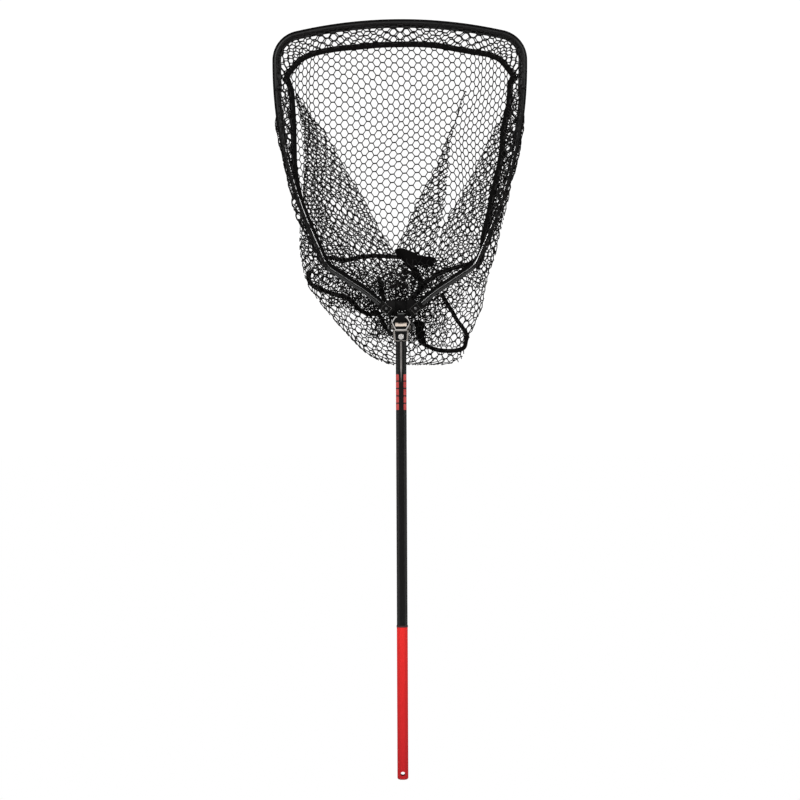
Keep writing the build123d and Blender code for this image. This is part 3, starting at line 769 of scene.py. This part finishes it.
def footSection(z, seed, nearness, left, right):
    # the base panel, crumpled in the hollow of the bag: nearness 0 is at the front wall, 1 at the back
    x = np.linspace(max(left, edgeAt(-1, z) + foot["inset"]), right, foot["points"])
    near = along("frontDepth", min(z, foot["frontTop"])) + foot["frontGap"]
    far = along("depth", z) - foot["backGap"]
    y = near + (far - near) * nearness + foot["rise"] * wobble(x, z, seed, foot["size"])
    return atLevel(x, y, z + foot["liftRise"] * wobble(x, z, seed + 1, foot["liftSize"]))


def sheet(low, high, section, anchor="start"):
    return Surface(np.arange(low, high, bag["level"]), section, anchor)


def pulled(side):
    # the wall's cells lean and stretch a little away from its edges
    points, edges, thickness = netOn(sheet(bag["bottom"], bag["top"], lambda z: wallSection(side, z)))
    x, y, z = points.T
    limit = np.abs(np.interp(z, *bagLines[edgeKey(side)].T))
    free = (np.clip((limit - np.abs(x)) / pull["edgeFade"], 0, 1) * np.clip(z / pull["footFade"], 0, 1)
            * np.clip((bag["top"] - z) / pull["topFade"], 0, 1) * pull["far"])
    moved = np.stack([x + free * wobble(x, z, *pull["across"]), y, z + free * wobble(x, z, *pull["up"])], 1)
    return moved, edges, thickness


netBack = netPiece("netBack", [pulled(1), pulled(-1)])
netLeftPleat = netPiece("netLeftPleat", [
    netOn(sheet(90, 556, lambda z: pleatSection(-1, z, "leftFold"), "end"), 4, (3, 5),
          scale=(0.72, 0.96), thin=0.94),
    netOn(sheet(100, 540, leftInnerSection), -9, (1, 2), scale=(0.82, 0.9), thin=0.88),
    netOn(sheet(bag["bottom"], 215, lambda z: frontSection(-1, z)), -5, thin=0.9),
])
netRightPleat = netPiece("netRightPleat", [
    netOn(sheet(90, 527, lambda z: pleatSection(1, z, "rightFold"), "end"), -3, (2, 3),
          scale=(0.84, 0.94), thin=0.97),
    netOn(sheet(100, 560, stripSection), -6, (4, 7), scale=(0.82, 0.9)),
    netOn(sheet(bag["bottom"], 250, lambda z: frontSection(1, z)), 5, (1, 4), thin=0.86),
])
crumples = [
    # levels, seed, nearness, left, right, turn, scale
    ((-30, 160), 31, 0.2, -70, 115, 17, (1, 1)),
    ((-45, 140), 47, 0.6, -28, 105, -24, (0.9, 0.9)),
    ((20, 148), 63, 0.4, -20, 92, 38, (0.8, 0.8)),
    ((-25, 104), 75, 0.1, -62, 60, -11, (0.6, 0.6)),
    ((28, 112), 83, 0.5, -75, 70, 52, (0.75, 0.75)),
    ((42, 134), 97, 0.0, -205, -80, 14, (1, 1)),
    ((-25, 62), 103, 0.3, -88, 8, 33, (0.75, 0.75)),
    ((50, 138), 113, 0.3, -40, 36, 61, (0.7, 0.7)),
    ((46, 100), 127, 0.1, -172, -58, -8, (0.6, 0.6)),
    ((38, 88), 131, 0.4, -140, -60, 28, (0.6, 0.6)),
    ((48, 92), 137, 0.2, 66, 150, 12, (0.8, 0.8)),
]
netFoot = netPiece("netFoot", [
    netOn(sheet(*span, lambda z: footSection(z, seed, nearness, left, right)), turn,
          (seed % 7, seed % 5), scale=scale, thin=0.85)
    for span, seed, nearness, left, right, turn, scale in crumples])


# hem: netting that runs from the tape round the tube and back to the tape

wrap = {
    "gap": 1.0,
    "bulge": 4.5,  # how far the loose loops stand off the sides
    "looseBelow": 545.0,  # above this the netting is drawn tight and goes in under the sleeve
    "tightens": 60.0,  # over this height
    "above": 138.0,  # below this, on the arms, the netting is sewn on behind the tube
    "sidesBelow": 560.0,  # the second layer, on the sides only, ends here
    "lump": {"side": -1, "height": 272.0, "spread": 40.0, "out": 10.0},  # slack that hangs out on one side
    "evened": 14,  # how many places each side of one are averaged
    "station": 6.0,
    "sewnEvery": 3.0,
}
hoopLength = np.linalg.norm(np.diff(hoopLine, axis=0), axis=1).sum()
hoopShares = np.linspace(0, 1, len(hoopLine))


def hoopPoint(share):
    return np.array([np.interp(share, hoopShares, column) for column in hoopLine.T])


# for each place on the hoop, where along the hem tape its netting is sewn, evened out so nothing crosses
hemArc = runLengths(hemLine)
sewnPlaces = np.arange(0, hoopLength, wrap["sewnEvery"])
nearest = [hemArc[np.linalg.norm(hemLine - hoopPoint(place / hoopLength), axis=1).argmin()]
           for place in sewnPlaces]
evening = np.hanning(2 * wrap["evened"] + 3)[1:-1]
sewnArc = np.convolve(np.pad(np.maximum.accumulate(nearest), wrap["evened"], mode="edge"),
                      evening / evening.sum(), "valid")


def hemSection(place):
    share, near = place / hoopLength, 0.004
    middle, ahead = hoopPoint(share), hoopPoint(min(share + near, 1)) - hoopPoint(max(share - near, 0))
    outward = np.array([-ahead[1], ahead[0]]) / np.linalg.norm(ahead)
    arc = np.interp(place, sewnPlaces, sewnArc)
    sewn = np.array([np.interp(arc, hemArc, column) for column in hemLine.T])
    radius = hoop["tubeRadius"] + wrap["gap"]
    free = float(np.clip((wrap["looseBelow"] - middle[1]) / wrap["tightens"], 0, 1))
    loose = wrap["bulge"] * free * (0.6 + 0.4 * sin(place / 11.0) * sin(place / 23.0))
    lump = wrap["lump"]
    if middle[0] * lump["side"] > 0:
        loose += lump["out"] * np.exp(-((middle[1] - lump["height"]) / lump["spread"]) ** 2)
    turns = np.linspace(-pi / 2, pi / 2, 15)
    out = np.cos(turns) * (radius * (2 * free - 1) + loose)
    ends = [middle + (sewn - middle), middle + (sewn - middle) * 0.5]
    flat = np.vstack([ends, middle + outward * out[:, None], ends[::-1]])
    y = np.concatenate([[-1.5, -radius * 0.8], np.sin(turns) * radius, [radius * 0.8, 1.5]])
    return hemPlace(flat, y)


hemStations = np.arange(0, hoopLength, wrap["station"])
stationHeights = np.array([hoopPoint(place / hoopLength)[1] for place in hemStations])
sideStations = hemStations[(stationHeights > wrap["above"]) & (stationHeights < wrap["sidesBelow"])]
hemStations = hemStations[stationHeights > wrap["above"]]
leftStations = sideStations[sideStations < hoopLength / 2]
rightStations = sideStations[sideStations > hoopLength / 2]
netHem = netPiece("netHem", [
    netOn(Surface(stations, hemSection, "middle"), turn, offset, scale, swap=True, thin=thin)
    for stations, turn, offset, scale, thin in (
        (hemStations, 3, (0, 0), (1.19, 0.88), 1.14),
        (leftStations, -12, (5, 4), (0.9, 0.7), 0.9),
        (rightStations, 9, (2, 7), (0.9, 0.7), 0.9))])


# hem tape, sleeve and the base's tapes

hemTapes = [
    swept(name, hemPlace(line, y), flatSection(hem["width"], hem["thickness"]), materials["tape_black"])
    for name, line, y in (("hemTapeTop", hemTop, 0.0), ("hemTapeLeft", hemLeft, 0.6),
                          ("hemTapeRight", hemRight, 0.6))]

sleeve = {"radius": 7.9, "topFin": 13.0, "sideFin": 9.8, "finHalf": 1.6, "turn": 560.0, "lowEnd": 430.0,
          "overlap": 4}


def sleevePiece(name, line, fin):
    # round the tube, with a flat fin towards the hem
    turns = np.linspace(radians(200), radians(-20), 19)
    ring = [(sleeve["radius"] * sin(t) * -1, sleeve["radius"] * cos(t)) for t in turns]
    section = ring + [(fin, -sleeve["finHalf"]), (fin, sleeve["finHalf"])]
    return swept(name, hemPlace(line, 0.0), section, materials["sleeve"])


isSide = (hoopLine[:, 1] > sleeve["lowEnd"]) & (hoopLine[:, 1] < sleeve["turn"] + sleeve["overlap"])
sleeves = [
    sleevePiece("hoopSleeve", hoopLine[hoopLine[:, 1] > sleeve["turn"]], sleeve["topFin"]),
    sleevePiece("hoopSleeveLeft", hoopLine[isSide & (hoopLine[:, 0] < 0)], sleeve["sideFin"]),
    sleevePiece("hoopSleeveRight", hoopLine[isSide & (hoopLine[:, 0] > 0)], sleeve["sideFin"]),
]

tapes = {
    # each tape's width, then its middle line as x, y and z
    "tapeBaseTop": (10.5, [
        (-194, 92, 159), (-165, 96, 163), (-130, 102, 157), (-101, 104, 163), (-71, 106, 167),
        (-35, 104, 166), (-8, 98, 164)]),
    "tapeBaseRight": (10.5, [
        (182, 60, 152), (165, 66, 148), (142, 74, 142), (118, 80, 135), (95, 82, 126), (71, 80, 112),
        (52, 76, 96), (24, 74, 62)]),
    "tapeUnderTab": (15, [(12, 90, 152), (28, 84, 138), (38, 80, 121), (47, 78, 105), (44, 76, 88)]),
    "tapeStub": (12, [(-51, 34, 117), (-48, 34, 98), (-43, 34, 74), (-36, 34, 58)]),
    "tapeLeftRun": (11, [
        (-215, 52, 133), (-217, 56, 114), (-210, 60, 100), (-194, 62, 91), (-176, 64, 84), (-153, 64, 76),
        (-130, 62, 70), (-113, 62, 58), (-101, 64, 44), (-87, 66, 34), (-71, 68, 29), (-57, 66, 34),
        (-47, 64, 20), (-40, 62, 6), (-31, 62, -8), (-20, 64, -20)]),
    "tapeLoop": (10.5, [
        (96, 66, 79), (106, 64, 58), (120, 62, 37), (132, 60, 15), (146, 58, -4), (154, 58, -20),
        (153, 60, -37), (148, 62, -51), (130, 66, -57), (106, 70, -58), (83, 72, -55), (66, 70, -48),
        (50, 66, -39), (43, 62, -25), (43, 60, -8), (48, 58, 6), (40, 58, 8), (24, 60, 2)]),
    "tapeLoopThick": (20, [(46, 52, 12), (44, 52, -8), (46, 54, -26), (54, 56, -42)]),
}
tapeCloth = {"thickness": 1.5, "twist": 0.35}


def tape(name, width, route):
    # the tape leans this way and that along its length
    line = curveThrough(route)
    lean = np.stack([np.sin(np.linspace(0, 5, len(line))) * tapeCloth["twist"], -np.ones(len(line)),
                     np.cos(np.linspace(0, 4, len(line))) * tapeCloth["twist"]], 1)
    return swept(name, line, flatSection(width, tapeCloth["thickness"]), materials["tape_black"], lean)


baseTapes = [tape(name, *values) for name, values in tapes.items()]

tab = {
    # a strip folded over on itself: x, y, z and its width there
    "line": [
        (-12, 96, 173, 14), (-8, 95, 174, 21), (3, 93, 172, 26), (14, 92, 167, 28), (24, 91, 162, 30),
        (34, 90, 157, 29), (44, 90, 156, 24), (54, 90, 155, 23), (64, 91, 153, 24), (75, 92, 152, 24),
        (80, 93, 150, 18)],
    "width": 31.0,
    "thickness": 2.4,
}
tabLine = curveThrough(tab["line"])
netTab = swept("netTab", tabLine[:, :3], flatSection(tab["width"], tab["thickness"]),
               materials["tape_black"], widths=tabLine[:, 3] / tab["width"])

headPieces = [netBack, netLeftPleat, netRightPleat, netFoot, netHem, netTab, *sleeves, *hemTapes, *baseTapes]
for piece in headPieces:
    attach(piece, "head")
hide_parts("net_bag", "net_foot")
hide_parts("hem_tape")
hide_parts("base_tape")
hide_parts("net_tab")
print("head dressed with", len(headPieces), "pieces")


# hinge: pale lines on the edges of the arm clamps and a grey strip on the top ridge of the thumb slide, both
# painted highlights

clamps = {"long": 20.0, "wide": 18.0, "corner": 1.5, "station": 11.0, "front": -11.35, "inset": 0.4,
          "edge": 0.6, "thick": 0.6}
ridge = {"half": 7.6, "height": 29.8, "proud": 0.1, "wide": 2.4, "thick": 1.0}


# a thin pale ring round each clamp plate: a painted highlight on its edges
def clampEdge(name, side):
    start, end = np.array(hoop["corners"][:2])
    ahead = (end - start) / np.linalg.norm(end - start)
    across = np.array([-ahead[1], ahead[0]])
    middle = start + ahead * clamps["station"]
    outline = roundedBox(clamps["long"] / 2 - clamps["inset"], clamps["wide"] / 2 - clamps["inset"],
                         clamps["corner"], 5)
    loop = np.array([middle + ahead * a + across * b for a, b in outline]) * (side, 1)
    return swept(name, hemPlace(loop, clamps["front"]), flatSection(clamps["edge"], clamps["thick"]),
                 materials["painted_edge_highlight"], closed=True)


for edge in (clampEdge("clampEdgeLeft", -1), clampEdge("clampEdgeRight", 1)):
    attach(edge, "head")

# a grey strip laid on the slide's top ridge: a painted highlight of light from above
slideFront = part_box("thumb_slide")[0][1] / mm
ridgeLine = [(x, slideFront - ridge["proud"], ridge["height"])
             for x in np.linspace(-ridge["half"], ridge["half"], 9)]
thumbRidgeHighlight = swept("thumbRidgeHighlight", ridgeLine, flatSection(ridge["wide"], ridge["thick"]), materials["ridge"])
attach(thumbRidgeHighlight, "latch")
print("hinge dressed")


# handle: plain red bars on the two slanted facets below the hinge, and a pale strip between them that is a painted
# highlight

bars = {"count": 5, "long": 14.5, "gap": 2.9, "top": -113.0, "wide": 9.0, "thick": 0.25, "flats": 25.2,
        "corner": 0.9}


def barSet(name, side):
    # rounded plates standing just proud of the facet
    outline = roundedBox(bars["wide"] / 2, bars["long"] / 2, bars["corner"], 4)
    out = np.array([side, -1.0, 0]) / 2 ** 0.5
    across = np.array([-side, -1.0, 0]) / 2 ** 0.5 * side
    points, faces = [], []
    for number in range(bars["count"]):
        height = bars["top"] - bars["long"] / 2 - number * (bars["long"] + bars["gap"])
        centre = out * bars["flats"] / 2 + np.array([0, 0, height])
        base = len(points)
        for lift in (-bars["thick"], bars["thick"]):
            for a, b in outline:
                points.append(centre + across * a + np.array([0, 0, b]) + out * lift)
        faces += [tuple(base + point for point in face) for face in gridFaces(2, len(outline))]
    piece = addMesh(name, placed(points), faces, materials["bars"], smooth=False)
    fixNormals(piece)
    return piece


for bar in (barSet("facetBarsLeft", -1), barSet("facetBarsRight", 1)):
    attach(bar, "handle")

# the pale strip, a painted highlight, runs down the front facet and dies away into it between the bars
paintedHighlight = {"top": -36.0, "low": -132.0, "wide": 4.4, "thick": 0.5, "taperFrom": -100.0, "tip": 0.1}
highlightHeights = np.arange(paintedHighlight["low"], paintedHighlight["top"] + 1, 4.0)
highlightLine = [(0, -bars["flats"] / 2, height) for height in highlightHeights]
paintedFacetHighlight = swept("paintedFacetHighlight", highlightLine, flatSection(paintedHighlight["wide"], paintedHighlight["thick"]), materials["paintedHighlight"],
                  widths=np.interp(highlightHeights, [paintedHighlight["low"], paintedHighlight["taperFrom"]], [paintedHighlight["tip"], 1.0]))
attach(paintedFacetHighlight, "handle")
print("handle dressed")


# studio

studio = {"floorHeight": -0.42, "floorHalf": 40, "camera": (-0.003, -5.0, 0.7155), "lens": 95.3,
          "roll": radians(0.25)}
lamps = {
    # where each stands, what it points at, its width and height, and its watts
    "keyLight": ((-2.4, -4.2, 3.0), (0, 0, 0.75), (0.9, 0.9), 150),
    "fillLight": ((3.0, -3.6, 2.9), (0, 0, 0.75), (1.0, 1.2), 95),
    "frontLight": ((0, -4.4, 3.5), (0, 0, 1.0), (3.6, 0.5), 60),
    "sideCardLeft": ((-3.0, 0.05, 0.15), (0, 0, 0.15), (0.7, 1.5), 7),
    "sideCardRight": ((3.0, 0.05, 0.15), (0, 0, 0.15), (0.7, 1.5), 7),
}


def emptied(block):
    block.use_nodes = True
    block.node_tree.nodes.clear()
    return Nodes(block.node_tree)


def whiteStage():
    points = [(x * studio["floorHalf"], y * studio["floorHalf"], studio["floorHeight"])
              for x, y in ((-1, -1), (1, -1), (1, 1), (-1, 1))]
    material = bpy.data.materials.new("palePaper")
    nodes = emptied(material)
    seen = nodes.add("ShaderNodeLightPath").outputs["Is Camera Ray"]
    paper = nodes.add("ShaderNodeBsdfDiffuse", inputs={"Color": (0.8, 0.8, 0.8, 1)})
    glow = nodes.add("ShaderNodeEmission", inputs={"Color": (1, 1, 1, 1), "Strength": 1.0})
    both = nodes.add("ShaderNodeMixShader", inputs={0: seen, 1: paper.outputs[0], 2: glow.outputs[0]})
    nodes.add("ShaderNodeOutputMaterial", inputs={0: both.outputs[0]})
    floor = addMesh("floor", points, [(0, 1, 2, 3)], material, smooth=False)


def whiteWorld():
    world = bpy.data.worlds.new("studio")
    bpy.context.scene.world = world
    nodes = emptied(world)
    seen = nodes.add("ShaderNodeLightPath").outputs["Is Camera Ray"]
    strength = nodes.plus(0.05, seen)
    back = nodes.add("ShaderNodeBackground", inputs={0: (1, 1, 1, 1), 1: strength})
    nodes.add("ShaderNodeOutputWorld", inputs={0: back.outputs[0]})


whiteStage()
whiteWorld()
for name, (place, aim, size, power) in lamps.items():
    lamp = bpy.data.lights.new(name, "AREA")
    lamp.shape, lamp.energy = "RECTANGLE", power
    lamp.size, lamp.size_y = size
    lampObject = addObject(name, lamp)
    lampObject.location = place
    lampObject.rotation_euler = (Vector(aim) - Vector(place)).to_track_quat("-Z", "Y").to_euler()

camera = bpy.data.cameras.new("camera")
camera.lens, camera.sensor_width = studio["lens"], 36
cameraObject = addObject("camera", camera)
cameraObject.location = studio["camera"]
cameraObject.rotation_euler = (radians(90), studio["roll"], 0)
bpy.context.scene.camera = cameraObject
bpy.context.scene.view_settings.view_transform = "Standard"
print("studio set")
